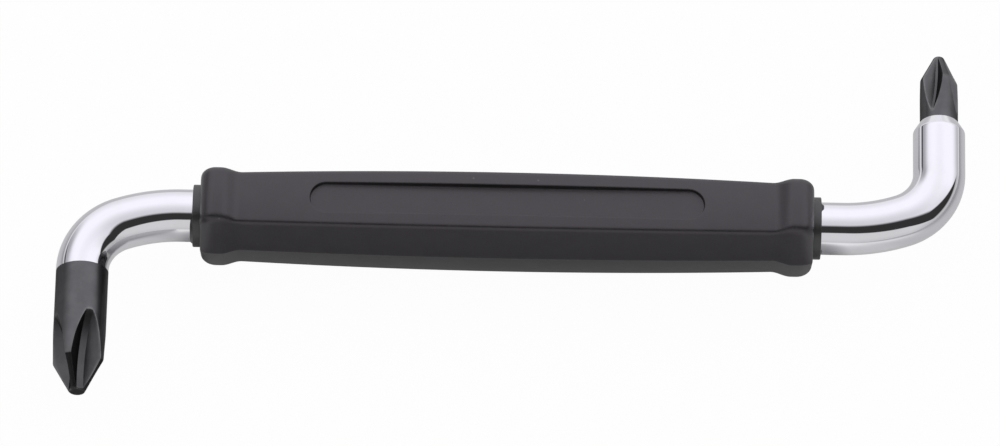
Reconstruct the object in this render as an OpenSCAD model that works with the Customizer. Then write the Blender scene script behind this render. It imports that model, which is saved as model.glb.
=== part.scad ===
// Offset screwdriver: a moulded handle with a cranked driver blade at each end,
// one with a size 2 cross-point tip and one with a size 1 cross-point tip.
// Millimetres, +Z up. The tool lies flat: the handle runs along X, the size 2
// leg points along -Y at the -X end and the size 1 leg along +Y at the +X end.
// The origin is under the middle of the whole tool, on the surface it lies on.

/* [Handle] */
// Length of the moulded handle, without the ferrules
handle_l = 70; // [66:0.1:74]
// Width of the upper and lower faces at mid-handle
mid_face_w = 7.4; // [6.8:0.1:8]
// Width over the mould line at mid-handle
mid_w = 9.2; // [8.8:0.1:10]
// Thickness between the middles of the faces at mid-handle
mid_t = 11.5; // [11.2:0.1:12.4]
// Width of the faces at the narrow necks
neck_face_w = 6.6; // [6:0.1:6.8]
// Width over the mould line at the necks
neck_w = 8.4; // [8:0.1:8.8]
// Thickness between the middles of the faces at the necks
neck_t = 10.5; // [10:0.1:11.2]
// Width of the faces on the end beads
bead_face_w = 6.8; // [6.4:0.1:7.2]
// Width over the mould line on the end beads
bead_w = 9.5; // [9:0.1:10]
// Thickness over the end beads, which the tool lies on
bead_t = 12.6; // [12.4:0.1:13.6]
// Height by which a face stands higher in its middle than at its edges
face_crown = 0.24; // [0.1:0.02:0.4]
// Length of a bead from the handle's end to where it starts to fall
bead_l = 2.3; // [2:0.1:3.6]
// Length over which a bead runs down into its neck
bead_fall_l = 2.4; // [1.2:0.1:3]
// Length of the rounding at a bead's outer end
bead_round_l = 1.7; // [1:0.1:2]
// Depth of that rounding from each face
bead_round_t = 1.8; // [0.8:0.1:2]
// Depth of that rounding from each end of a face's width
bead_round_face = 0.6; // [0.4:0.1:1.4]
// Depth of that rounding from the mould line
bead_round_w = 0.45; // [0.2:0.05:0.6]
// Rounding of the four long edges between the beads
edge_r = 0.7; // [0.4:0.1:1]
// Rounding of the four long edges on the beads
bead_edge_r = 1.2; // [0.8:0.1:1.4]

/* [Marking recess] */
// Length of the recess in the upper face
recess_l = 45; // [30:1:52]
// Width of the recess
recess_w = 3.8; // [3:0.1:4.6]
// Depth of the recess at mid-handle
recess_depth = 0.85; // [0.6:0.05:1.1]

/* [Bar] */
// Diameter of the round bar that both shanks are bent from
bar_d = 6; // [5.6:0.1:6.4]
// Radius of the gentle first part of a bend
lead_r = 20; // [14:1:30]
// Angle turned by the gentle first part of a bend
lead_angle = 20; // [12:1:24]
// Radius of the tight second part of a bend
bend_r = 6.4; // [5.6:0.1:7.2]
// How much thicker the bar is where it is bent tight
bend_swell = 0.02; // [0.02:0.01:0.1]
// Distance from mid-handle to the size 2 leg's axis
ph2_offset = 48.3; // [47:0.1:56]
// Distance from mid-handle to the size 1 leg's axis
ph1_offset = 49.5; // [47:0.1:56]
// Distance from the handle's axis to the end of the size 2 tip
ph2_reach = 22.7; // [20:0.1:30]
// Distance from the handle's axis to the end of the size 1 tip
ph1_reach = 22.4; // [20:0.1:30]
// Straight bright bar left between the bend and the size 2 tip
ph2_straight_l = 0.3; // [0.1:0.1:4]
// Straight bright bar left between the bend and the size 1 shoulder
ph1_straight_l = 5.1; // [3:0.1:6]
// Slope of the coned shoulder that narrows to the size 1 tip
shoulder_angle = 31; // [24:1:45]
// Rounding between the plain bar and that cone
shoulder_r = 0.7; // [0.4:0.1:1.2]

/* [Tang and seats] */
// Handle material left between the two tang ends
web_t = 4; // [2:0.5:8]
// Length of the flats that stop a tang from turning
tang_flat_l = 22; // [12:1:26]
// Thickness of a tang across its flats
tang_flat_t = 4.8; // [4:0.1:5.4]
// Length of a ferrule
ferrule_l = 4; // [3:0.1:5]
// Length of a ferrule that stands out of the handle
ferrule_out = 0.9; // [0.6:0.1:1.6]
// Wall of a ferrule
ferrule_wall = 0.55; // [0.4:0.05:0.7]
// Bevel on a ferrule's outer rim
ferrule_bevel = 0.15; // [0.05:0.05:0.3]
// Diameter of the spigot behind each tip
spigot_d = 3; // [2.4:0.1:3.4]
// Length of the spigot behind each tip
spigot_l = 3; // [2:0.1:3.4]
// Radial clearance of every seat before it is bonded
seat_gap = 0.02; // [0.01:0.01:0.04]

/* [Tips] */
// Diameter of the size 1 tip
ph1_d = 4.4; // [4.2:0.1:5]
// Length of the size 2 tip's cone
ph2_cone_l = 3.7; // [3:0.1:4.4]
// Length of the size 1 tip's cone
ph1_cone_l = 3.2; // [2.6:0.1:3.8]
// Diameter of the size 2 tip's blunt end
ph2_end_d = 1.8; // [1.6:0.1:2.4]
// Diameter of the size 1 tip's blunt end
ph1_end_d = 1.1; // [1:0.1:1.6]
// Length of the size 2 tip's flutes
ph2_flute_l = 9.8; // [8:0.1:11]
// Length of the size 1 tip's flutes
ph1_flute_l = 7.9; // [6.5:0.1:8.1]
// Radius of the grinding wheel that cuts the size 2 flutes
ph2_wheel_r = 13.5; // [12:0.5:18]
// Radius of the grinding wheel that cuts the size 1 flutes
ph1_wheel_r = 14; // [11:0.5:18]
// Distance from the size 2 tip's axis to the deepest point of a flute's corner
ph2_core_r = 0.4; // [0.35:0.05:0.6]
// Distance from the size 1 tip's axis to the deepest point of a flute's corner
ph1_core_r = 0.45; // [0.35:0.05:0.55]
// Width of the flat floor along a size 2 flute
ph2_floor_w = 0.8; // [0.5:0.05:1]
// Width of the flat floor along a size 1 flute
ph1_floor_w = 0.3; // [0.2:0.05:0.5]
// Turn of the flutes about each leg, from straight up
flute_turn = -24; // [-45:1:45]

/* [Hidden] */
$fn = 64;

bar_r = bar_d / 2;
half_l = handle_l / 2;
neck_x = half_l - bead_l - bead_fall_l;

// Where the bead lands are trimmed flat: the loft stands this much proud of them
land_trim = 0.16;
// Length by which a cut passes the face that it opens
past = 1;

// A section of the handle: half width of the faces, half width at the mould line, half thickness,
// and rounding of the long edges
mid_section = [mid_face_w / 2, mid_w / 2, mid_t / 2, edge_r];
neck_section = [neck_face_w / 2, neck_w / 2, neck_t / 2, edge_r];
bead_section = [bead_face_w / 2, bead_w / 2, bead_t / 2 + land_trim, bead_edge_r];
bead_round = [bead_round_face, bead_round_w, bead_round_t, 0];

barrel_steps = 8;
fall_steps = 6;
round_steps = 4;
corner_steps = 4;
face_steps = 8;
shoulder_steps = 6;

// Angle by which the tight part of a bend laps over the gentle part
bend_lap = 1;

// A bend goes this far along the handle and this far along the leg
bend_run = lead_r * sin(lead_angle) + bend_r * (1 - sin(lead_angle));
bend_depth = lead_r * (1 - cos(lead_angle)) + bend_r * cos(lead_angle);

// The rounding of the shoulder goes this far along the leg and this far in, and the cone does the rest
shoulder_round_l = shoulder_r * sin(shoulder_angle);
shoulder_round_in = shoulder_r * (1 - cos(shoulder_angle));
shoulder_l = shoulder_round_l + ((bar_d - ph1_d) / 2 - shoulder_round_in) / tan(shoulder_angle);

ferrule_d = bar_d + 2 * (seat_gap + ferrule_wall);
ferrule_depth = ferrule_l - ferrule_out;

ph2_joint_y = bend_depth + ph2_straight_l;
ph1_joint_y = bend_depth + ph1_straight_l + shoulder_l;

handle_colour = [0.14, 0.14, 0.15];
chrome_colour = [0.82, 0.82, 0.86];
black_colour = [0.24, 0.24, 0.25];
ferrule_colour = [0.19, 0.19, 0.2];

// Section of the handle at a distance x from its middle, before the end rounding
function barrel(x) = mid_section + (neck_section - mid_section) * pow(x / neck_x, 2);
function fall(x) = (1 - cos(180 * (x - neck_x) / bead_fall_l)) / 2;
function section(x) =
    x <= neck_x ? barrel(x)
    : x < neck_x + bead_fall_l ? neck_section + (bead_section - neck_section) * fall(x)
    : bead_section;

// Share of the end rounding's depth that is reached at a distance x from the handle's middle
function end_round(x) =
    let (into = max(0, x - half_l + bead_round_l) / bead_round_l)
    1 - sqrt(max(0, 1 - into * into));

// Stations along one half of the handle, from its middle to its end
half_stations = [
    for (i = [0:barrel_steps - 1]) neck_x * i / barrel_steps,
    for (i = [0:fall_steps]) neck_x + bead_fall_l * i / fall_steps,
    for (i = [0:round_steps]) half_l - bead_round_l * (1 - sin(90 * i / round_steps))
];
stations = [
    for (i = [len(half_stations) - 1:-1:1]) -half_stations[i],
    each half_stations
];

// One rounded corner of a section, from its drafted side up to its crowned face
function corner(s) =
    let (edge = [s[0], s[2] - face_crown])
    let (draft = atan((s[1] - edge[0]) / edge[1]))
    let (turn = 90 - draft - atan(2 * face_crown / s[0]))
    let (middle = draft + turn / 2)
    let (centre = edge - s[3] / cos(turn / 2) * [cos(middle), sin(middle)])
    [for (i = [0:corner_steps])
        let (a = draft + turn * i / corner_steps)
        centre + s[3] * [cos(a), sin(a)]];
function reversed(list) = [for (i = [len(list) - 1:-1:0]) list[i]];

// The crowned face of a section between its two corners, from the +Y side to the -Y side
function face(s, start) = [
    for (i = [1:face_steps - 1])
        let (y = start[0] * (1 - 2 * i / face_steps))
        [y, start[1] + face_crown * (start[0] * start[0] - y * y) / (s[0] * s[0])]
];

// A whole section as points [y, z], once round from the mould line on the +Y side
function ring(s) =
    let (c = corner(s))
    let (upper = concat(c, face(s, c[corner_steps]), [for (p = reversed(c)) [-p[0], p[1]]]))
    concat([[s[1], 0]], upper, [[-s[1], 0]], [for (p = upper) -p]);

// The solid shape of the handle, lofted through its sections
module handle_loft() {
    rings = [for (x = stations) ring(section(abs(x)) - end_round(abs(x)) * bead_round)];
    count = len(rings[0]);
    last = len(rings) - 1;
    points = [for (k = [0:last]) for (p = rings[k]) [stations[k], p[0], p[1]]];
    sides = [
        for (k = [0:last - 1]) for (i = [0:count - 1])
            let (a = k * count + i, b = k * count + (i + 1) % count)
            each [[a, a + count, b + count], [a, b + count, b]]
    ];
    ends = [
        [for (i = [0:count - 1]) i],
        [for (i = [count - 1:-1:0]) last * count + i]
    ];
    polyhedron(points, concat(sides, ends));
}

// A round rod along X from x0 to x1
module rod(d, x0, x1) {
    translate([x0, 0, 0]) rotate([0, 90, 0]) cylinder(d = d, h = x1 - x0);
}

// The straight inner end of a shank from x0 to x1, with two flats from x0 on
module tang(gap, x0, x1) {
    difference() {
        rod(bar_d + 2 * gap, x0, x1);
        for (side = [0, 180]) rotate([side, 0, 0])
            translate([x0 - past, tang_flat_t / 2 + gap, -bar_d])
                cube([tang_flat_l + past, bar_d, 2 * bar_d]);
    }
}

// A stretch of bar of diameter d, bent to radius r about a centre
module bent(d, r, centre, from, to) {
    translate([centre[0], centre[1], 0])
        rotate_extrude(angle = to - from, start = from) translate([r, 0]) circle(d = d);
}

// A cranked shank: tang and bend, then the leg along +Y, turned to a given profile [radius, y]
module cranked_bar(offset_x, leg_profile) {
    bend_x = offset_x - bend_run;
    translate([bend_x, 0, 0]) {
        tang(0, web_t / 2 - bend_x, 0);
        bent(bar_d, lead_r, [0, lead_r], -90, lead_angle - 90);
    }
    bent(bar_d + bend_swell, bend_r, [offset_x - bend_r, bend_depth], lead_angle - 90 - bend_lap, 0);
    translate([offset_x, bend_depth, 0]) rotate([-90, 0, 0]) rotate_extrude() polygon(leg_profile);
}

// The blind hole in a leg's end that takes a tip's spigot
module spigot_hole(offset_x, joint_y) {
    translate([offset_x, joint_y - spigot_l, 0]) rotate([-90, 0, 0])
        cylinder(d = spigot_d + 2 * seat_gap, h = spigot_l + past);
}

// A grinding wheel with a square rim whose corner is cut to a narrow flat
module wheel(wheel_r, depth, floor_w) {
    floor_half = floor_w / 2;
    rotate_extrude() polygon([
        [wheel_r - floor_half, floor_half],
        [wheel_r - depth, depth],
        [wheel_r - depth, -depth],
        [wheel_r - floor_half, -floor_half]
    ]);
}

// A cross-point tip along +Z, with its spigot below the joint at z = 0
module cross_tip(body_d, tip_l, cone_l, end_d, flute_l, wheel_r, core_r, floor_w) {
    body_r = body_d / 2;
    wheel_back = sqrt(wheel_r * wheel_r - pow(wheel_r + core_r - body_r, 2));
    difference() {
        rotate_extrude() polygon([
            [0, -spigot_l],
            [spigot_d / 2, -spigot_l],
            [spigot_d / 2, 0],
            [body_r, 0],
            [body_r, tip_l - cone_l],
            [end_d / 2, tip_l],
            [0, tip_l]
        ]);
        for (i = [0:3]) rotate([0, 0, flute_turn + 90 * i])
            translate([core_r + wheel_r, 0, tip_l - flute_l + wheel_back])
                rotate([90, 0, 0]) wheel(wheel_r, body_d, floor_w);
    }
}

// A ferrule round a shank at the +X mouth of the handle
module ferrule() {
    bore_r = bar_r + seat_gap;
    outer_r = ferrule_d / 2;
    color(ferrule_colour) translate([half_l - ferrule_depth, 0, 0]) rotate([0, 90, 0])
        rotate_extrude() polygon([
            [bore_r, 0],
            [outer_r, 0],
            [outer_r, ferrule_l - ferrule_bevel],
            [outer_r - ferrule_bevel, ferrule_l],
            [bore_r, ferrule_l]
        ]);
}

// The space that a tang and its ferrule take in the handle
module mouth() {
    tang(seat_gap, web_t / 2, half_l + past);
    rod(ferrule_d + 2 * seat_gap, half_l - ferrule_depth, half_l + past);
}

// The recess for a marking in the upper face, left plain
module recess() {
    run = recess_l - recess_w;
    translate([0, 0, mid_t / 2 - recess_depth]) {
        translate([-run / 2, -recess_w / 2, 0]) cube([run, recess_w, recess_depth + past]);
        for (x = [-run / 2, run / 2]) translate([x, 0, 0])
            cylinder(d = recess_w, h = recess_depth + past);
    }
}

// The size 2 side is the size 1 side turned half round
module size_2_side() {
    rotate([0, 0, 180]) children();
}

// From the middle of the handle to the tool's own frame
module placed() {
    translate([(ph2_offset - ph1_offset) / 2, (ph2_reach - ph1_reach) / 2, bead_t / 2]) children();
}

module handle() {
    color(handle_colour) difference() {
        intersection() {
            handle_loft();
            cube([handle_l + 2 * past, bead_w + 2 * past, bead_t], center = true);
        }
        mouth();
        size_2_side() mouth();
        recess();
    }
}

module ph2_shank() {
    color(chrome_colour) size_2_side() difference() {
        cranked_bar(ph2_offset, [[0, 0], [bar_r, 0], [bar_r, ph2_straight_l], [0, ph2_straight_l]]);
        spigot_hole(ph2_offset, ph2_joint_y);
    }
}

// The size 1 leg's profile [radius, y]: plain bar, a rounding, then a cone down to the tip
function ph1_leg() =
    let (end_y = ph1_straight_l + shoulder_l)
    let (rounding = [
        for (i = [0:shoulder_steps])
            let (a = shoulder_angle * i / shoulder_steps)
            [bar_r - shoulder_r * (1 - cos(a)), ph1_straight_l + shoulder_r * sin(a)]
    ])
    concat([[0, 0], [bar_r, 0]], rounding, [[ph1_d / 2, end_y], [0, end_y]]);

module ph1_shank() {
    color(chrome_colour) difference() {
        cranked_bar(ph1_offset, ph1_leg());
        spigot_hole(ph1_offset, ph1_joint_y);
    }
}

module ph2_ferrule() {
    size_2_side() ferrule();
}

module ph1_ferrule() {
    ferrule();
}

module ph2_tip() {
    color(black_colour) size_2_side() translate([ph2_offset, ph2_joint_y, 0]) rotate([-90, 0, 0])
        cross_tip(bar_d, ph2_reach - ph2_joint_y, ph2_cone_l, ph2_end_d,
                  ph2_flute_l, ph2_wheel_r, ph2_core_r, ph2_floor_w);
}

module ph1_tip() {
    color(black_colour) translate([ph1_offset, ph1_joint_y, 0]) rotate([-90, 0, 0])
        cross_tip(ph1_d, ph1_reach - ph1_joint_y, ph1_cone_l, ph1_end_d,
                  ph1_flute_l, ph1_wheel_r, ph1_core_r, ph1_floor_w);
}

placed() handle();
placed() ph2_shank();
placed() ph1_shank();
placed() ph2_ferrule();
placed() ph1_ferrule();
placed() ph2_tip();
placed() ph1_tip();
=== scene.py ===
"""The looks of an offset screwdriver: a moulded black handle with a marking recess, two cranked chrome
bars, black collars and blackened cross-point tips, lying on a pale floor in soft studio light.

Shapes are worked out in millimetres about the middle of the handle, with the handle along X, a leg along +Y
and Z up. That is the size 1 end. The size 2 end is made the same way and turned half round about Z.
"""

import bmesh
import bpy
import numpy as np
from mathutils import Matrix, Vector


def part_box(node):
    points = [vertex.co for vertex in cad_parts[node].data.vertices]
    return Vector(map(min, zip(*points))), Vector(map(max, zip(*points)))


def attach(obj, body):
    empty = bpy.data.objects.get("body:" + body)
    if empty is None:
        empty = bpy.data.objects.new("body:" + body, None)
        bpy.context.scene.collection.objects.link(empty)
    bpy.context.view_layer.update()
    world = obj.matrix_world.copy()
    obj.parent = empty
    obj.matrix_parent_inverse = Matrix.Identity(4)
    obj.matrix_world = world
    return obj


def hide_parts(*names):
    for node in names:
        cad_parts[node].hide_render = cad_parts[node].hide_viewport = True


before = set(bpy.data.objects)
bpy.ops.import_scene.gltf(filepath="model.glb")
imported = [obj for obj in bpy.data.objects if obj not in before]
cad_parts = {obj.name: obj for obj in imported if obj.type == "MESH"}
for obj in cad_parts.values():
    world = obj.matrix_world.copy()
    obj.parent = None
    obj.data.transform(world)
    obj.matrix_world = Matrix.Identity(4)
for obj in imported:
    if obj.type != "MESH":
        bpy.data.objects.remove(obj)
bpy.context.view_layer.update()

MM = 0.001
MERGE = 1e-7
SHARP_ANGLE = np.radians(40)
SIZE_1 = 1
SIZE_2 = -1


def node_box(name):
    """Lowest and highest corner of a CAD node in millimetres."""
    low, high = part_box(name)
    return np.array(low) / MM, np.array(high) / MM


# Sizes that the frame gives
HANDLE_LOW, HANDLE_HIGH = node_box("handle")
MIDDLE = (HANDLE_LOW + HANDLE_HIGH) / 2
HALF_L, BEAD_HALF_W, BEAD_HALF_T = (HANDLE_HIGH - HANDLE_LOW) / 2
TIP_BOXES = {SIZE_1: node_box("ph1_tip"), SIZE_2: node_box("ph2_tip")}
COLLAR_LOW, COLLAR_HIGH = node_box("ph1_ferrule")
COLLAR_R = (COLLAR_HIGH[2] - COLLAR_LOW[2]) / 2
COLLAR_BACK = COLLAR_LOW[0] - MIDDLE[0]
COLLAR_FRONT = COLLAR_HIGH[0] - MIDDLE[0]

# Rounding of moulded and turned rims, and the clearance of the seats
RIM_R = 0.12
SEAT_GAP = 0.02

# Handle: half face width, half width at the mould line, half thickness, rounding of the long edges
MID_SECTION = np.array([3.7, 4.6, 5.75, 0.7])
NECK_SECTION = np.array([3.3, 4.2, 5.25, 0.7])
BEAD_SECTION = np.array([3.4, BEAD_HALF_W, BEAD_HALF_T, 1.2])
BEAD_ROUND = np.array([0.6, 0.45, 1.8, 0])
BEAD_L = 2.3
BEAD_FALL_L = 2.4
BEAD_ROUND_L = 1.7
NECK_X = HALF_L - BEAD_L - BEAD_FALL_L
FACE_CROWN = 0.24
MOULD_GROOVE = 0.05
MOULD_GROOVE_HALF = 0.07

# Marking recess in the upper face
RECESS_L = 45.0
RECESS_R = 1.9
RECESS_RUN = RECESS_L / 2 - RECESS_R
RECESS_DEPTH = 0.85
RECESS_FLOOR = MID_SECTION[2] - RECESS_DEPTH
WALL_LEAN = 0.05
FILLET_R = 0.16

# Bars
BAR_R = 3.0
LEAD_R = 20.0
LEAD_TURN = np.radians(20)
BEND_R = 6.4
BEND_RUN = LEAD_R * np.sin(LEAD_TURN) + BEND_R * (1 - np.sin(LEAD_TURN))
BEND_DEPTH = LEAD_R * (1 - np.cos(LEAD_TURN)) + BEND_R * np.cos(LEAD_TURN)
TANG_START = 2.0
TANG_FLAT_END = 24.0
TANG_FLAT_HALF = 2.4
SHOULDER_TURN = np.radians(31)
SHOULDER_R = 0.7
SPIGOT_R = 1.5
SPIGOT_L = 3.0

# Smears of sealant on the collars: height, angle from straight up toward +Y, and half width in degrees
COLLAR_SMEARS = {SIZE_1: [(0.3, 27, 9), (0.14, -90, 7)], SIZE_2: [(0.28, 75, 45)]}

# Lip of a collar's front face: distances from the bore, and the share of a smear's height at each
LIP_AWAY = np.array([0.24, 0.14, 0.06, 0])
LIP_SHARE = np.array([0, 0.4, 0.9, 1])

# Tips: cone length, end radius, flute length, wheel radius, core radius, half width of a flute's floor
TIP_R = {SIZE_1: 2.2, SIZE_2: BAR_R}
TIP_SHAPES = {SIZE_1: (3.2, 0.55, 7.9, 14.0, 0.45, 0.15), SIZE_2: (3.7, 0.9, 9.8, 13.5, 0.4, 0.4)}
FLUTE_TURN = np.radians(-24)

# Rounding of the tips: the flutes' edges, the start of the cone, and the length and drop of the blunt end
FLUTE_EDGE = 0.07
CONE_EDGE = 0.12
TIP_END_L = 0.25
TIP_END_DROP = 0.15

# Stretches of a tip with close rings: from the flutes' start, and to each side of the cone's start
FLUTE_START_L = 1.6
CONE_START_L = 0.3

# How much painted shade darkens the ground faces: in the flutes and on the cone
GROUND_PAINTED_SHADE = {SIZE_1: (0.08, 0.08), SIZE_2: (0.44, 0.85)}


def into_frame(points, end):
    """From the handle's own millimetres to the frame: the size 2 end is turned half round about Z."""
    return (points * np.array([end, end, 1.0]) + MIDDLE) * MM


def lay_skin(name, grid, end=SIZE_1, marks=None):
    """A closed mesh from a grid of points: each row is a ring, each quad joins two rows and two columns,
    and the last column joins the first. Points that coincide, such as a ring that shrinks to a pole, are
    merged. marks are named values for each point."""
    rows, columns = grid.shape[:2]
    row, column = np.meshgrid(np.arange(rows - 1), np.arange(columns), indexing="ij")
    after = (column + 1) % columns
    ring = row * columns
    next_ring = ring + columns
    corners = [ring + column, ring + after, next_ring + after, next_ring + column]
    quads = np.stack(corners, -1).reshape(-1, 4)
    mesh = bpy.data.meshes.new(name)
    mesh.from_pydata(into_frame(grid, end).reshape(-1, 3).tolist(), [], quads.tolist())
    for mark, values in (marks or {}).items():
        layer = mesh.attributes.new(mark, "FLOAT", "POINT")
        layer.data.foreach_set("value", np.ascontiguousarray(values, np.float32).ravel())
    shell = bmesh.new()
    shell.from_mesh(mesh)
    bmesh.ops.remove_doubles(shell, verts=shell.verts, dist=MERGE)
    bmesh.ops.recalc_face_normals(shell, faces=shell.faces)
    shell.to_mesh(mesh)
    shell.free()
    mesh.shade_smooth()
    mesh.set_sharp_from_angle(angle=SHARP_ANGLE)
    piece = bpy.data.objects.new(name, mesh)
    bpy.context.scene.collection.objects.link(piece)
    return piece


def handle_section(x):
    """Half face width, half mould-line width, half thickness and edge rounding at each distance x from the
    middle. The barrel shrinks with the square of x down to the neck, half a cosine wave lifts it to the
    bead, and a quarter ellipse rounds the bead's outer end."""
    barrel = np.clip(x / NECK_X, 0, 1)[:, None] ** 2
    lift = (1 - np.cos(np.pi * np.clip((x - NECK_X) / BEAD_FALL_L, 0, 1)))[:, None] / 2
    into = np.clip((x - HALF_L + BEAD_ROUND_L) / BEAD_ROUND_L, 0, 1)
    rounding = (1 - np.sqrt(1 - into ** 2))[:, None]
    section = MID_SECTION + (NECK_SECTION - MID_SECTION) * barrel + (BEAD_SECTION - NECK_SECTION) * lift
    return (section - BEAD_ROUND * rounding).T


def recess_wall():
    """The recess's edge in section, as distances from its outline, outwards positive, and shares of its
    depth from 0 at the floor to 1 at the face: a fillet's quarter circle, a leaning wall and a rim's quarter
    circle."""
    turn = np.linspace(0, np.pi / 2, 6)
    fillet = -WALL_LEAN - FILLET_R * (1 - np.sin(turn))
    fillet_rise = FILLET_R * (1 - np.cos(turn))
    rim = RIM_R * (1 - np.cos(turn))
    rim_rise = RECESS_DEPTH - RIM_R * (1 - np.sin(turn))
    return np.concatenate([fillet, rim]), np.concatenate([fillet_rise, rim_rise]) / RECESS_DEPTH


def handle_quarter(x, with_recess):
    """A quarter of the handle's ring at each station, as arrays of y and z from the mould line up to the
    middle of the face. It goes up the drafted side from the mould line's fine groove, round the corner's
    arc, and over the crowned face, where the columns follow lines at fixed distances from the recess's
    outline."""
    face, width, thick, edge_r = handle_section(np.abs(x))
    edge = thick - FACE_CROWN
    draft = np.arctan2(width - face, edge)
    turn = np.pi / 2 - draft - np.arctan2(2 * FACE_CROWN, face)
    reach = edge_r / np.cos(turn / 2)
    centre_y = face - reach * np.cos(draft + turn / 2)
    centre_z = edge - reach * np.sin(draft + turn / 2)
    angle = draft[:, None] + turn[:, None] * np.linspace(0, 1, 9)
    arc_y = centre_y[:, None] + edge_r[:, None] * np.cos(angle)
    arc_z = centre_z[:, None] + edge_r[:, None] * np.sin(angle)

    near = MOULD_GROOVE_HALF * np.array([0, 0.5, 1, 2])
    share = np.linspace(0, 1, 11)[None, 1:-1]
    groove_z = np.broadcast_to(near, (len(x), len(near)))
    side_z = np.concatenate([groove_z, near[-1] + (arc_z[:, :1] - near[-1]) * share], 1)
    lean = (arc_y[:, :1] - width[:, None]) / arc_z[:, :1]
    side_y = width[:, None] + lean * side_z - MOULD_GROOVE * np.clip(1 - side_z / MOULD_GROOVE_HALF, 0, 1)

    offset, rise = recess_wall()
    past_run = np.maximum(np.abs(x) - RECESS_RUN, 0)[:, None]
    rim_y = np.sqrt(np.maximum((RECESS_R + offset[::-1]) ** 2 - past_run ** 2, 0))
    land_y = arc_y[:, -1:] + (rim_y[:, :1] - arc_y[:, -1:]) * np.linspace(0, 1, 9)[None, 1:-1]
    floor_y = rim_y[:, -1:] * np.linspace(1, 0, 6)[None, 1:]
    face_y = np.concatenate([land_y, rim_y, floor_y], 1)
    face_z = arc_z[:, -1:] + FACE_CROWN * (arc_y[:, -1:] ** 2 - face_y ** 2) / face[:, None] ** 2
    if with_recess:
        distance = np.hypot(past_run, face_y) - RECESS_R
        face_z = RECESS_FLOOR + (face_z - RECESS_FLOOR) * np.interp(distance, offset, rise)
    return np.concatenate([side_y, arc_y, face_y], 1), np.concatenate([side_z, arc_z, face_z], 1)


def handle_stations():
    """Distances along the handle at which it has a ring: even on the barrel, and close together at the ends
    of the recess, on the bead's rise and on its rounded end."""
    quarter = np.sin(np.linspace(0, np.pi / 2, 24))
    half = [
        np.linspace(0, NECK_X, 64),
        RECESS_RUN + RECESS_R * quarter,
        RECESS_RUN + RECESS_R + recess_wall()[0],
        np.linspace(NECK_X, HALF_L - BEAD_ROUND_L, 24),
        HALF_L - BEAD_ROUND_L * (1 - quarter),
    ]
    half = np.unique(np.concatenate(half).round(4))
    return np.concatenate([-half[:0:-1], half])


def moulded_handle():
    """The handle's rings from end to end, with each end closed through the collar's mouth and the tang's
    blind socket: rings of the end face run from the outline to circles of the same polar angles."""
    x = handle_stations()
    upper_y, upper_z = handle_quarter(x, True)
    lower_y, lower_z = handle_quarter(x, False)
    y = np.concatenate([upper_y, -upper_y[:, -2::-1], -lower_y[:, 1:], lower_y[:, -2:0:-1]], 1)
    z = np.concatenate([upper_z, upper_z[:, -2::-1], -lower_z[:, 1:], -lower_z[:, -2:0:-1]], 1)
    body = np.stack([np.broadcast_to(x[:, None], y.shape), y, z], -1)

    angle = np.arctan2(z[-1], y[-1])
    circle = np.stack([0 * angle, np.cos(angle), np.sin(angle)], -1)
    mouth_r = COLLAR_R + SEAT_GAP
    socket_r = BAR_R + SEAT_GAP
    blend = np.linspace(0, 1, 5)[1:-1, None, None]
    rim = circle * (mouth_r + RIM_R) + [HALF_L, 0, 0]
    mouth = [(HALF_L - RIM_R, mouth_r), (COLLAR_BACK, mouth_r)]
    round_socket = [(COLLAR_BACK, socket_r), (TANG_FLAT_END, socket_r)]
    flat_socket = [(TANG_FLAT_END, socket_r), (TANG_START, socket_r), (TANG_START, 0)]
    bore = np.stack([circle * r + [at, 0, 0] for at, r in mouth + round_socket])
    flats = np.stack([circle * r + [at, 0, 0] for at, r in flat_socket])
    flats[..., 1] = np.clip(flats[..., 1], -TANG_FLAT_HALF - SEAT_GAP, TANG_FLAT_HALF + SEAT_GAP)
    close = np.concatenate([body[-1] + (rim - body[-1]) * blend, rim[None], bore, flats])
    return lay_skin("moulded_handle", np.concatenate([close[::-1] * [-1, 1, 1], body, close]))


def collar(name, end):
    """A ring turned about X: bore, back face, outside, a rounded front rim and a front face whose inner lip
    carries smears of sealant. Each smear is a smooth hump round the ring, its height over one plus the sixth
    power of the angle from its middle in half widths."""
    angle = np.linspace(0, 2 * np.pi, 144, endpoint=False)
    smear = np.zeros_like(angle)
    for height, middle, half in COLLAR_SMEARS[end]:
        away = np.angle(np.exp(1j * (angle - np.radians(middle))))
        smear = smear + height / (1 + (away / np.radians(half)) ** 6)
    turn = np.linspace(0, np.pi / 2, 6)
    bore_r = BAR_R + SEAT_GAP
    rim_x = COLLAR_FRONT - RIM_R * (1 - np.sin(turn))
    rim_r = COLLAR_R - RIM_R * (1 - np.cos(turn))
    lip_x = np.full_like(LIP_AWAY, COLLAR_FRONT)
    at = np.concatenate([[COLLAR_FRONT, COLLAR_BACK, COLLAR_BACK], rim_x, lip_x])
    radius = np.concatenate([[bore_r, bore_r, COLLAR_R], rim_r, bore_r + LIP_AWAY])
    proud = np.concatenate([[1, 0, 0], np.zeros_like(rim_x), LIP_SHARE])
    along = at[:, None] + proud[:, None] * smear
    grid = np.stack([along, radius[:, None] * np.sin(angle), radius[:, None] * np.cos(angle)], -1)
    return lay_skin(name, grid, end)


def leg_sizes(end):
    """Where a leg lies along X, and where along Y its tip starts and ends. The tip's box starts with the
    spigot, which goes into the bar."""
    low, high = TIP_BOXES[end]
    leg_x = abs((low[0] + high[0]) / 2 - MIDDLE[0])
    reach = np.abs(np.array([low[1], high[1]]) - MIDDLE[1])
    return leg_x, reach.min() + SPIGOT_L, reach.max()


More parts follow.
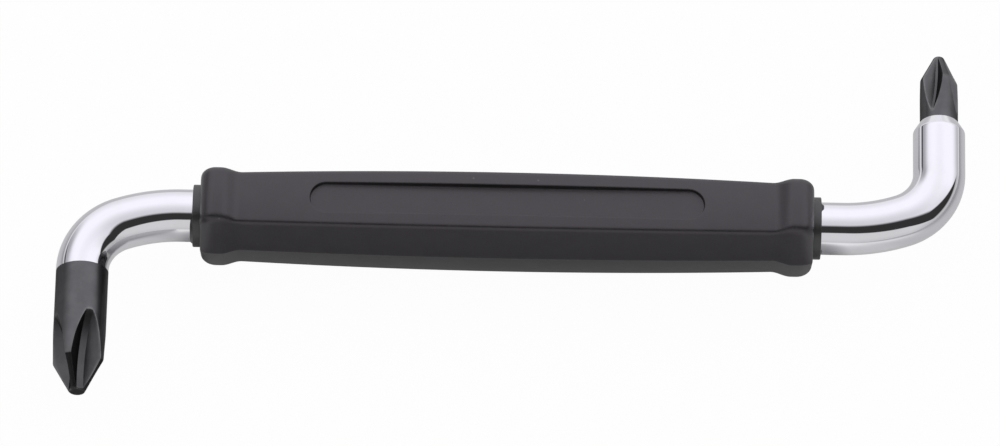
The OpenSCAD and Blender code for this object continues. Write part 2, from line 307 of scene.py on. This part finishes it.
def leg_profile(end, joint_y):
    """Distances along a leg and radii, from the end of the bend: plain bar, then on the narrower leg an arc
    that turns into a cone down to the tip, then the bore for the tip's spigot."""
    narrowing = BAR_R - TIP_R[end]
    turn = np.linspace(0, SHOULDER_TURN, 9) * (narrowing > 0)
    arc_y = SHOULDER_R * np.sin(turn)
    arc_r = BAR_R - SHOULDER_R * (1 - np.cos(turn))
    cone_l = (arc_r[-1] - TIP_R[end]) / np.tan(SHOULDER_TURN)
    start = joint_y - cone_l - arc_y[-1]
    plain = np.linspace(BEND_DEPTH, start, 9)[1:-1]
    cone = np.linspace(0, 1, 9)[1:]
    hole_r = SPIGOT_R + SEAT_GAP
    hole_y = [joint_y, joint_y - SPIGOT_L, joint_y - SPIGOT_L]
    y = np.concatenate([plain, start + arc_y, joint_y - cone_l * (1 - cone), hole_y])
    cone_r = arc_r[-1] + (TIP_R[end] - arc_r[-1]) * cone
    return y, np.concatenate([np.full_like(plain, BAR_R), arc_r, cone_r, [hole_r, hole_r, 0]])


def cranked_bar(name, end):
    """A round bar carried along a path in the plane of the legs: straight tang, gentle arc, tight arc and
    leg. At each station the ring is the path's point plus the radius times a circle square to the path's
    heading."""
    leg_x, joint_y, _ = leg_sizes(end)
    bend_x = leg_x - BEND_RUN
    lead = np.linspace(0, LEAD_TURN, 17)
    tight = np.linspace(LEAD_TURN, np.pi / 2, 61)[1:]
    leg_y, leg_r = leg_profile(end, joint_y)

    straight = np.linspace(TANG_FLAT_END, bend_x, 12)[1:-1]
    tang = np.concatenate([[TANG_START, TANG_START, TANG_FLAT_END, TANG_FLAT_END], straight])
    x = np.concatenate([
        tang,
        bend_x + LEAD_R * np.sin(lead),
        leg_x - BEND_R * (1 - np.sin(tight)),
        np.full_like(leg_y, leg_x),
    ])
    y = np.concatenate([
        np.zeros_like(tang),
        LEAD_R * (1 - np.cos(lead)),
        BEND_DEPTH - BEND_R * np.cos(tight),
        leg_y,
    ])
    heading = np.concatenate([np.zeros_like(tang), lead, tight, np.full_like(leg_y, np.pi / 2)])
    radius = np.concatenate([np.full(len(x) - len(leg_y), BAR_R), leg_r])
    radius[0] = 0
    angle = np.linspace(0, 2 * np.pi, 96, endpoint=False)
    side = radius[:, None] * np.sin(angle)
    side[:3] = np.clip(side[:3], -TANG_FLAT_HALF, TANG_FLAT_HALF)
    grid = np.stack([
        x[:, None] + side * np.sin(heading)[:, None],
        y[:, None] - side * np.cos(heading)[:, None],
        radius[:, None] * np.cos(angle),
    ], -1)
    return lay_skin(name, grid, end)


def soft_min(a, b, width):
    """The smaller of two values, rounded over where they differ by less than the width."""
    near = np.maximum(width - np.abs(a - b), 0) / width
    return np.minimum(a, b) - near ** 2 * width / 4


def tip_stations(length, cone_l, flute_l):
    """Distances from the joint at which a tip has a ring: close together where the flutes start, where the
    cone starts and on the rounded end."""
    apex = length - flute_l
    turn = np.sin(np.linspace(0, np.pi / 2, 9))
    return np.unique(np.concatenate([
        np.linspace(0, apex, 8),
        apex + FLUTE_START_L * np.linspace(0, 1, 28) ** 2,
        np.linspace(apex, length - TIP_END_L, 60),
        length - cone_l + CONE_START_L * np.linspace(-1, 1, 13),
        length - TIP_END_L * (1 - turn),
    ]).round(4))


def tip_body(s, length, body_r, cone_l, end_r):
    """Radius of a tip without its flutes: a cylinder, a cone and a rounded blunt end."""
    slope = (body_r - end_r) / cone_l
    cone = end_r + (length - s) * slope
    into = np.clip((s - length) / TIP_END_L + 1, 0, 1)
    return soft_min(np.full_like(s, body_r), cone, CONE_EDGE) - TIP_END_DROP * (1 - np.sqrt(1 - into ** 2))


def flute_columns(corner, floor_at, floor_half, body):
    """Angles of a tip's columns from the middle of one flute to the middle of the next, for each ring, and
    the same angles from the nearer flute's middle. The columns follow the edges of the flutes' floors and
    the flutes' outer edges."""
    flank_edge = np.arccos(np.clip(corner / (body * np.sqrt(2)), -1, 1)) - np.pi / 4
    floor_edge = np.arccos(np.clip(floor_at / body, -1, 1))
    edge = np.clip(np.minimum(flank_edge, floor_edge), 0, None)[:, None]
    floor = np.minimum(np.arctan2(floor_half, floor_at), edge[:, 0])[:, None]
    ease = (1 - np.cos(np.linspace(0, np.pi, 11))) / 2
    half = np.concatenate([
        floor * np.linspace(0, 1, 5),
        floor + (edge - floor) * ease[1:],
        edge + (np.pi / 4 - edge) * ease[1:],
    ], 1)
    quarter = np.concatenate([half, np.pi / 2 - half[:, -2:0:-1]], 1)
    return quarter, np.concatenate([half, half[:, -2:0:-1]], 1)


def cross_tip(name, end):
    """A cross-point tip as a radius over length and angle. A flute is what a wheel leaves in the body: at
    each length its corner lies at a distance from the axis that follows the wheel's circle, its flanks
    spread at a right angle and its floor is flat. The radius is the smaller of body and flute. The edges
    are marked for rubbed wear with a painted highlight, and the ground faces for painted shade, in the
    finish."""
    leg_x, joint_y, end_y = leg_sizes(end)
    length = end_y - joint_y
    body_r = TIP_R[end]
    cone_l, end_r, flute_l, wheel_r, core_r, floor_half = TIP_SHAPES[end]
    apex = length - flute_l
    s = tip_stations(length, cone_l, flute_l)
    body = tip_body(s, length, body_r, cone_l, end_r)
    wheel_back = np.sqrt(wheel_r ** 2 - (wheel_r + core_r - body_r) ** 2)
    along_wheel = np.minimum(np.abs(s - apex - wheel_back), wheel_r)
    corner = core_r + wheel_r - np.sqrt(wheel_r ** 2 - along_wheel ** 2)

    floor_at = corner + floor_half
    quarter, flank_angle = flute_columns(corner, floor_at, floor_half, body)
    flank = corner[:, None] / np.maximum(np.cos(flank_angle) - np.sin(flank_angle), 1e-3)
    flat = floor_at[:, None] / np.cos(flank_angle)
    flute = np.maximum(flank, flat)
    radius = soft_min(np.broadcast_to(body[:, None], flute.shape), flute, FLUTE_EDGE)
    # the flutes' edges: partly rubbed wear and partly a painted highlight
    wear_and_highlight = np.exp(-((body[:, None] - flute) / (2 * FLUTE_EDGE)) ** 2) * (s[:, None] > apex)
    in_flute = np.clip((body[:, None] - flute) / FLUTE_EDGE, 0, 1)
    on_cone = np.clip((s - length + cone_l) / FLUTE_EDGE, 0, 1)[:, None]
    flute_painted_shade, cone_painted_shade = GROUND_PAINTED_SHADE[end]
    # painted shade: how far each ground face's colour is darkened, most in the size 2 flutes and cone
    ground = in_flute * flute_painted_shade + (1 - in_flute) * on_cone * cone_painted_shade

    angle = FLUTE_TURN + np.concatenate([quarter + k * np.pi / 2 for k in range(4)], 1)
    radius = np.tile(radius, 4)
    wear_and_highlight = np.tile(wear_and_highlight, 4)
    ground = np.tile(ground, 4)
    shrink = np.linspace(1, 0, 5)[1:, None]
    lead_in = np.array([[-SPIGOT_L, 0], [-SPIGOT_L, SPIGOT_R], [0, SPIGOT_R]])
    s = np.concatenate([lead_in[:, 0], s, np.full(4, length)])
    angle = np.concatenate([np.repeat(angle[:1], 3, 0), angle, np.repeat(angle[-1:], 4, 0)])
    spigot = np.broadcast_to(lead_in[:, 1:], (3, radius.shape[1]))
    radius = np.concatenate([spigot, radius, radius[-1:] * shrink])
    wear_and_highlight = np.concatenate([np.zeros((3, wear_and_highlight.shape[1])), wear_and_highlight, wear_and_highlight[-1:] * shrink])
    ground = np.concatenate([np.zeros((3, ground.shape[1])), ground, np.repeat(ground[-1:], 4, 0)])
    grid = np.stack([
        leg_x + radius * np.cos(angle),
        np.broadcast_to(joint_y + s[:, None], radius.shape),
        -radius * np.sin(angle),
    ], -1)
    return lay_skin(name, grid, end, {"worn_and_highlight_edge": wear_and_highlight, "ground_painted_shade": ground})


class Wire:
    """One output of a shader node. A sum written with it adds Math nodes, so that 1 - mask works."""

    def __init__(self, sheet, socket):
        self.sheet = sheet
        self.socket = socket

    def __add__(self, other):
        return self.sheet.math("ADD", self, other)

    def __radd__(self, other):
        return self.sheet.math("ADD", other, self)

    def __sub__(self, other):
        return self.sheet.math("SUBTRACT", self, other)

    def __rsub__(self, other):
        return self.sheet.math("SUBTRACT", other, self)

    def __mul__(self, other):
        return self.sheet.math("MULTIPLY", self, other)

    def __rmul__(self, other):
        return self.sheet.math("MULTIPLY", other, self)

    def __truediv__(self, other):
        return self.sheet.math("DIVIDE", self, other)


class Sheet:
    """The node tree of one finish, or of the world."""

    def __init__(self, owner):
        owner.use_nodes = True
        self.tree = owner.node_tree
        self.tree.nodes.clear()

    def node(self, kind, settings=None, sockets=None, out=0):
        """Any node: its settings are set first, then its sockets get values or links, and one output comes
        back."""
        made = self.tree.nodes.new(kind)
        for name, value in (settings or {}).items():
            setattr(made, name, value)
        for name, value in (sockets or {}).items():
            if isinstance(value, Wire):
                self.tree.links.new(value.socket, made.inputs[name])
            else:
                made.inputs[name].default_value = value
        return Wire(self, made.outputs[out]) if made.outputs else made

    def math(self, operation, first, second):
        return self.node("ShaderNodeMath", {"operation": operation}, {0: first, 1: second})

    def largest(self, first, second):
        return self.math("MAXIMUM", first, second)

    def smallest(self, first, second):
        return self.math("MINIMUM", first, second)

    def parts(self, vector):
        """The three parts of a vector."""
        split = self.node("ShaderNodeSeparateXYZ", None, {0: vector})
        return [Wire(self, socket) for socket in split.socket.node.outputs]

    def light_path(self, name):
        return self.node("ShaderNodeLightPath", out=name)

    def step(self, value, low, high):
        """A smooth rise from 0 where the value is low to 1 where it is high."""
        ease = {"interpolation_type": "SMOOTHSTEP"}
        return self.node("ShaderNodeMapRange", ease, {"Value": value, "From Min": low, "From Max": high})

    def mix(self, share, first, second):
        """From the first colour to the second by a share."""
        return self.node("ShaderNodeMix", {"data_type": "RGBA"}, {0: share, 6: first, 7: second}, out=2)

    def noise(self, place, scale, detail, rough=0.5):
        sockets = {"Vector": place, "Scale": scale, "Detail": detail, "Roughness": rough}
        return self.node("ShaderNodeTexNoise", None, sockets)

    def object_place(self):
        return self.node("ShaderNodeTexCoord", out=3)

    def attribute(self, name):
        return self.node("ShaderNodeAttribute", {"attribute_name": name}, out=2)

    def bump(self, height, depth, strength):
        sockets = {"Height": height, "Distance": depth, "Strength": strength}
        return self.node("ShaderNodeBump", None, sockets)

    def surface(self, sockets):
        """The one shader of a piece, on the tree's output."""
        shader = self.node("ShaderNodeBsdfPrincipled", None, sockets)
        self.node("ShaderNodeOutputMaterial", None, {"Surface": shader})


def grey(level, tint=(1.0, 1.0, 1.0)):
    return (level * tint[0], level * tint[1], level * tint[2], 1.0)


def new_finish(name):
    material = bpy.data.materials.new(name)
    return material, Sheet(material)


def moulded_black():
    """Matt black moulded plastic: a fine spark-eroded grain, broad clouding and a few pale specks."""
    material, sheet = new_finish("moulded_black")
    place = sheet.object_place()
    grain = sheet.noise(place, scale=7000.0, detail=3.0, rough=0.6)
    cloud = sheet.noise(place, scale=420.0, detail=4.0, rough=0.6)
    cell = sheet.node("ShaderNodeTexVoronoi", None, {"Vector": place, "Scale": 700.0})
    dust_patch = sheet.step(sheet.noise(place, scale=260.0, detail=1.0), 0.56, 0.62)
    dust = (1 - sheet.step(cell, 0.05, 0.11)) * dust_patch
    dark = grey(0.011, (1.0, 0.96, 1.0))
    light = grey(0.016, (1.0, 0.96, 0.98))
    clouded = sheet.mix(sheet.step(cloud, 0.3, 0.7), dark, light)
    colour = sheet.mix(dust * 0.6, clouded, grey(0.12))
    sheet.surface({
        "Base Color": colour,
        "Roughness": 0.3 + cloud * 0.1,
        "Specular IOR Level": 0.78,
        "Specular Tint": grey(1.0, (1.0, 0.94, 1.0)),
        "Normal": sheet.bump(grain, depth=0.00004, strength=0.3),
    })
    return material


def polished_chrome():
    """Bright chrome plate: a cool mirror with faint smears that spread the reflections a little."""
    material, sheet = new_finish("polished_chrome")
    place = sheet.object_place()
    smear = sheet.step(sheet.noise(place, scale=160.0, detail=5.0, rough=0.65), 0.45, 0.75)
    colour = sheet.mix(smear, grey(0.76, (1.0, 0.99, 1.03)), grey(0.73, (1.0, 0.99, 1.02)))
    sheet.surface({"Base Color": colour, "Metallic": 1.0, "Roughness": 0.035 + smear * 0.03})
    return material


def satin_black():
    """Black finished collar steel: satin and a little cloudy."""
    material, sheet = new_finish("satin_black")
    place = sheet.object_place()
    cloud = sheet.noise(place, scale=900.0, detail=4.0, rough=0.6)
    colour = sheet.mix(sheet.step(cloud, 0.35, 0.7), grey(0.009), grey(0.017))
    sheet.surface({
        "Base Color": colour,
        "Roughness": 0.32 + cloud * 0.12,
        "Specular IOR Level": 0.9,
        "Normal": sheet.bump(cloud, depth=0.00005, strength=0.25),
    })
    return material


def blackened_steel():
    """Hardened steel with a black oxide skin: dark and satin with a very fine grain and faint broad
    clouding.
    Painted shade darkens the ground faces, most in the flutes and on the cone of the size 2 tip. The
    flutes' edges are a little brighter, partly rubbed wear and partly a painted highlight."""
    material, sheet = new_finish("blackened_steel")
    place = sheet.object_place()
    grain = sheet.noise(place, scale=5200.0, detail=3.0, rough=0.6)
    cloud = sheet.noise(place, scale=480.0, detail=3.0, rough=0.55)
    # partly rubbed wear and partly a painted highlight along the flutes' edges
    wear_and_highlight = sheet.attribute("worn_and_highlight_edge") * sheet.step(cloud, 0.3, 0.6)
    dark = grey(0.105, (1.0, 0.99, 1.02))
    light = grey(0.128, (1.0, 0.99, 1.01))
    skin = sheet.mix(sheet.step(cloud, 0.3, 0.7), dark, light)
    # painted shade: the ground faces' colour goes toward a darker grey
    shaded_skin = sheet.mix(sheet.attribute("ground_painted_shade"), skin, grey(0.034))
    # painted highlight and wear: the edges' colour is lifted toward a paler grey
    colour = sheet.mix(wear_and_highlight * 0.5, shaded_skin, grey(0.24))
    sheet.surface({
        "Base Color": colour,
        "Metallic": 1.0,
        "Roughness": 0.27 + grain * 0.1 - wear_and_highlight * 0.05,
        "Specular Tint": grey(0.4),
        "Normal": sheet.bump(grain, depth=0.00002, strength=0.25),
    })
    return material


# The tent's brightness: ceiling, its gain halfway down, south wall, and how dark the gap and the wedge are
CEILING_LEVEL = 1.02
CEILING_GAIN = 0.22
WALL_LEVEL = 0.72
GAP_DARKNESS = 0.95
WEDGE_DARKNESS = 0.85

# Slopes to the north: the gap's edges over the tool, how soft they are, and where the ceiling dims
GAP_NORTH_EDGE = -0.25
GAP_SOUTH_EDGE = -1.0
CEILING_SOFT = (-0.1, 0.1)
WALL_SOFT = (-0.07, 0.07)
CEILING_DIM = (-0.2, 0.5)

# Stretches of a direction's upward part over which the tent changes. WEDGE_SOFT is about the wedge's top
GAP_FOOT = (0.1, 0.22)
WALL_FOOT = (0.0, 0.3)
WEDGE_FOOT = (0.05, 0.09)
WEDGE_SOFT = (-0.02, 0.02)
LOW_SKY = (0.05, 0.5)
MIDDLE_SKY = (0.0, 0.6)
HIGH_SKY = (0.8, 1.05)
WEST_SKY = (0.25, 0.65)

# Stretches of a direction's eastward or westward part
EAST_SIDE = (0.5, 0.9)
WEST_SIDE = (0.45, 0.75)
WEDGE_WEST = (0.68, 0.9)


def studio_light():
    """The world as a light tent by direction, in slopes: a direction's east and north parts over its height.
    The ceiling is bright to the north and dims toward its south edge, and low in the east and the west. The
    south wall is grey. Between them lies the dark gap that the camera looks through: over the tool its edges
    run east and west, and toward the east it swings north and closes. A thin dark wedge lies low in the
    west. Where the camera sees the tent, it is white."""
    world = bpy.data.worlds.new("light_tent")
    bpy.context.scene.world = world
    sheet = Sheet(world)
    east, north, up = sheet.parts(sheet.node("ShaderNodeTexCoord"))
    height = sheet.largest(up, 0.03)
    across = sheet.largest(east / height, 0)
    along = north / height

    ceiling_edge = 0.5 * sheet.largest(across - 1, 0) - 0.15 * sheet.smallest(across, 1) + GAP_NORTH_EDGE
    wall_edge = GAP_SOUTH_EDGE - 0.4 * across
    open_sky = sheet.step(along - ceiling_edge, *CEILING_SOFT)
    gap = (1 - open_sky) * sheet.step(along - wall_edge, *WALL_SOFT) * sheet.step(up, *GAP_FOOT)
    low_east = sheet.step(east, *EAST_SIDE) * (1 - sheet.step(up, *LOW_SKY))
    halfway = sheet.step(up, *MIDDLE_SKY) * (1 - sheet.step(up, *HIGH_SKY))
    full = CEILING_LEVEL + CEILING_GAIN * halfway - 0.4 * low_east
    in_west = sheet.step(0 - east, *WEST_SIDE)
    west = 0.5 + 0.65 * sheet.step(up, *WEST_SKY)
    by_south = 0.78 + 0.22 * sheet.step(along, *CEILING_DIM)
    ceiling = (full + in_west * (west - full)) * by_south
    wall = WALL_LEVEL + 0.08 * sheet.step(up, *WALL_FOOT) - 0.1 * low_east
    wedge_top = WEDGE_FOOT[0] + 0.13 * sheet.step(0 - east, *WEDGE_WEST)
    wedge = sheet.step(up, *WEDGE_FOOT) * (1 - sheet.step(up - wedge_top, *WEDGE_SOFT))
    closed = wall + open_sky * (ceiling - wall)
    level = closed * (1 - GAP_DARKNESS * gap) * (1 - WEDGE_DARKNESS * wedge)

    colour = sheet.mix(open_sky, grey(1.0, (1.0, 0.995, 1.0)), grey(1.0, (0.985, 0.975, 1.03)))
    tent = sheet.node("ShaderNodeBackground", None, {"Color": colour, "Strength": level})
    white = sheet.node("ShaderNodeBackground", None, {"Color": grey(1.0), "Strength": 1.0})
    camera = sheet.light_path("Is Camera Ray")
    shown = sheet.node("ShaderNodeMixShader", None, {0: camera, 1: tent, 2: white})
    sheet.node("ShaderNodeOutputWorld", None, {"Surface": shown})


# The floor's size, and the stretches over which its painted glow in reflections changes, in metres from its
# middle
FLOOR_SIZE = 3.0
HANDLE_SIDE = (0.004, 0.0062)
HANDLE_END = (0.034, 0.037)
BARS_START = (0.036, 0.04)
BARS_SOUTH = (0.001, 0.006)
BENDS_START = (0.044, 0.05)
BENDS_END = (0.056, 0.095)
FAR_NORTH = (0.03, 0.09)
FAR_SOUTH = (0.008, 0.045)


def pale_floor():
    """A flat pale floor that lifts to white where a camera sees it, and part of the way where a reflection
    does. In reflections the lift is a painted glow that changes by place: a little under the handle, more
    by the bars, and most far to the north, where it meets the tent. It keeps a soft shadow."""
    edges = np.array([-0.5, 0.5]) * FLOOR_SIZE
    x, y = np.meshgrid(edges, edges)
    corners = np.stack([x.ravel(), y.ravel(), np.zeros(4)], 1)
    mesh = bpy.data.meshes.new("pale_floor")
    mesh.from_pydata(corners.tolist(), [], [(0, 1, 3, 2)])
    floor = bpy.data.objects.new("pale_floor", mesh)
    bpy.context.scene.collection.objects.link(floor)
    material, sheet = new_finish("pale_floor")
    camera = sheet.light_path("Is Camera Ray")
    mirrored = sheet.light_path("Is Glossy Ray") + sheet.light_path("Is Transmission Ray")
    east, north, _ = sheet.parts(sheet.object_place())
    south = 0 - north
    aside = sheet.largest(east, 0 - east)
    outward = aside + 0.7 * sheet.largest(north, 0)
    glow_by_bars = sheet.step(outward, *BARS_START) * (1 - sheet.step(aside, *BENDS_END))
    glow_under_bars = glow_by_bars * (1 - sheet.step(aside, *BENDS_START)) * sheet.step(south, *BARS_SOUTH)
    across = sheet.largest(north, south)
    glow_under_handle = (1 - sheet.step(across, *HANDLE_SIDE)) * (1 - sheet.step(aside, *HANDLE_END))
    # painted glow: how brightly the floor shines in reflections changes by place, near the tool and far away
    near = 0.02 + 0.26 * glow_under_handle + 0.38 * glow_by_bars + 0.12 * glow_under_bars
    far = 0.85 * sheet.step(north, *FAR_NORTH) + (0.15 + 0.3 * glow_by_bars) * sheet.step(south, *FAR_SOUTH)
    share = camera * 0.97 + mirrored * (near + far)
    tone = sheet.mix(camera, grey(0.5), grey(0.92))
    paint = sheet.node("ShaderNodeBsdfDiffuse", None, {"Color": tone})
    lift = sheet.node("ShaderNodeEmission", None, {"Color": grey(1.0), "Strength": 1.0})
    shown = sheet.node("ShaderNodeMixShader", None, {0: share, 1: paint, 2: lift})
    sheet.node("ShaderNodeOutputMaterial", None, {"Surface": shown})
    mesh.materials.append(material)


# The photograph's camera: angle from straight down, roll, distance, lens and framing
CAMERA_TILT = np.radians(27.0)
CAMERA_ROLL = np.radians(-1.165)
CAMERA_DISTANCE = 1000.0
CAMERA_LENS = 314.64
CAMERA_SHIFT = (-0.0069, -0.0008)


def photo_camera():
    """The camera looks at the middle of the handle. Its axes are a tilt from straight down and a roll."""
    tilt = np.array(Matrix.Rotation(-CAMERA_TILT, 3, "X"))
    roll = np.array(Matrix.Rotation(CAMERA_ROLL, 3, "Z"))
    axes = (roll @ tilt).T
    place = (MIDDLE + axes[:, 2] * CAMERA_DISTANCE) * MM
    data = bpy.data.cameras.new("photo_camera")
    data.lens = CAMERA_LENS
    data.sensor_fit = "HORIZONTAL"
    data.sensor_width = 36.0
    data.shift_x, data.shift_y = CAMERA_SHIFT
    data.clip_start = 0.01
    camera = bpy.data.objects.new("photo_camera", data)
    camera.matrix_world = Matrix.Translation(place) @ Matrix(axes.tolist()).to_4x4()
    bpy.context.scene.collection.objects.link(camera)
    bpy.context.scene.camera = camera


def dress(piece, node, material):
    """A finished piece stands for its CAD node and rides with the tool."""
    piece.data.materials.append(material)
    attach(piece, "root")
    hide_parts(node)


photo_camera()
studio_light()
pale_floor()
bpy.context.scene.view_settings.view_transform = "Standard"

plastic = moulded_black()
chrome = polished_chrome()
collar_black = satin_black()
tip_black = blackened_steel()

dress(moulded_handle(), "handle", plastic)
ENDS = {"ph2": SIZE_2, "ph1": SIZE_1}
for size, end in ENDS.items():
    dress(collar(f"{size}_collar", end), f"{size}_ferrule", collar_black)
for size, end in ENDS.items():
    dress(cranked_bar(f"{size}_cranked_bar", end), f"{size}_shank", chrome)
    dress(cross_tip(f"{size}_cross_tip", end), f"{size}_tip", tip_black)
